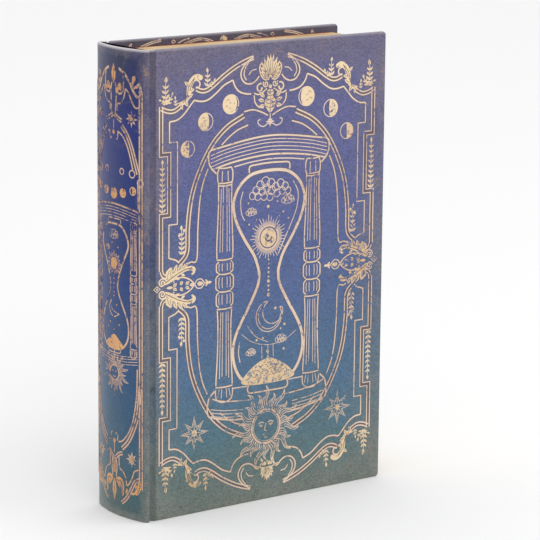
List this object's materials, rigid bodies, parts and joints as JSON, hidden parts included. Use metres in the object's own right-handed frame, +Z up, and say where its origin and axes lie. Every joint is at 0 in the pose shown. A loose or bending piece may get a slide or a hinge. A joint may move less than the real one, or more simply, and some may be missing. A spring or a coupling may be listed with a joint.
{
  "type": "book safe",
  "caption": "Hollow book with printed cloth covers whose front cover opens on a lined compartment, shut by a hinged inner door with a cam lock.",
  "frame": {"origin": "middle of the base, where the book stands on its tail edge", "axes": "+Z up along the book's height, -Y out of the front cover, +X towards the fore-edge, spine at -X"},
  "size_m": [0.1745, 0.049, 0.27],
  "materials": {
    "greyboard": "raw pressed board",
    "book_cloth": "printed linen book cloth, matt, with gold foil lines",
    "hinge_cloth": "printed linen book cloth, creased",
    "rust_paper": "matt uncoated paper",
    "fibreboard": "raw fibreboard",
    "page_edge_paper": "paper printed with fine page lines, matt",
    "bright_steel": "bright",
    "brown_board": "dark stained edge",
    "brown_paper": "matt paper",
    "chrome": "polished",
    "black_plastic": "moulded, satin",
    "spring_steel": "bright",
    "nickel": "nickel plated, satin",
    "brass": "plain",
    "zinc_steel": "zinc plated"
  },
  "bodies": {
    "book_block": {"spine_board": "greyboard", "spine_cloth": "book_cloth", "front_hinge_cloth": "hinge_cloth", "back_hinge_cloth": "hinge_cloth", "back_board": "greyboard", "back_cloth": "book_cloth", "back_endpaper": "rust_paper", "head_wall": "fibreboard", "tail_wall": "fibreboard", "fore_edge_wall": "fibreboard", "spine_wall": "fibreboard", "back_panel": "fibreboard", "head_stop": "fibreboard", "tail_stop": "fibreboard", "fore_edge_stop": "fibreboard", "spine_stop": "fibreboard", "head_edge_paper": "page_edge_paper", "tail_edge_paper": "page_edge_paper", "fore_edge_paper": "page_edge_paper", "frame_paper": "page_edge_paper", "wall_lining": "rust_paper", "back_lining": "rust_paper", "strike_plate": "bright_steel", "door_pins": "bright_steel"},
    "front_cover": {"front_board": "greyboard", "front_cloth": "book_cloth", "front_endpaper": "rust_paper"},
    "inner_door": {"door_panel": "brown_board", "door_face_lining": "brown_paper", "door_back_lining": "brown_paper", "lock_barrel": "chrome", "lock_washer": "black_plastic", "lock_clip": "spring_steel"},
    "lock_core": {"lock_plug": "nickel", "lock_wafers": "brass", "lock_cam": "zinc_steel", "cam_screw": "zinc_steel"},
    "keys": {"key_ring": "spring_steel", "key_blade_1": "nickel", "key_bow_1": "black_plastic", "key_blade_2": "nickel", "key_bow_2": "black_plastic"}
  },
  "joints": [
    {"name": "cover_hinge", "type": "hinge", "parent": "book_block", "child": "front_cover", "pos_m": [-0.07821, -0.0246, 0.135], "axis": [0, 0, -1], "range_deg": [0, 120], "deforming": ["front_hinge_cloth"]},
    {"name": "door_hinge", "type": "hinge", "parent": "book_block", "child": "inner_door", "pos_m": [-0.07068, -0.0159, 0.135], "axis": [0, 0, -1], "range_deg": [0, 90]},
    {"name": "lock_turn", "type": "hinge", "parent": "inner_door", "child": "lock_core", "pos_m": [0.0528, -0.0159, 0.135], "axis": [0, 1, 0], "range_deg": [0, 90]},
    {"name": "keys_slide", "type": "slide", "parent": "book_block", "child": "keys", "axis": [1, 0, 0], "range_m": [-0.012, 0.03]}
  ],
  "couplings": [
    {"joint": "door_hinge", "follows": "cover_hinge", "ratio": 0.75}
  ]
}
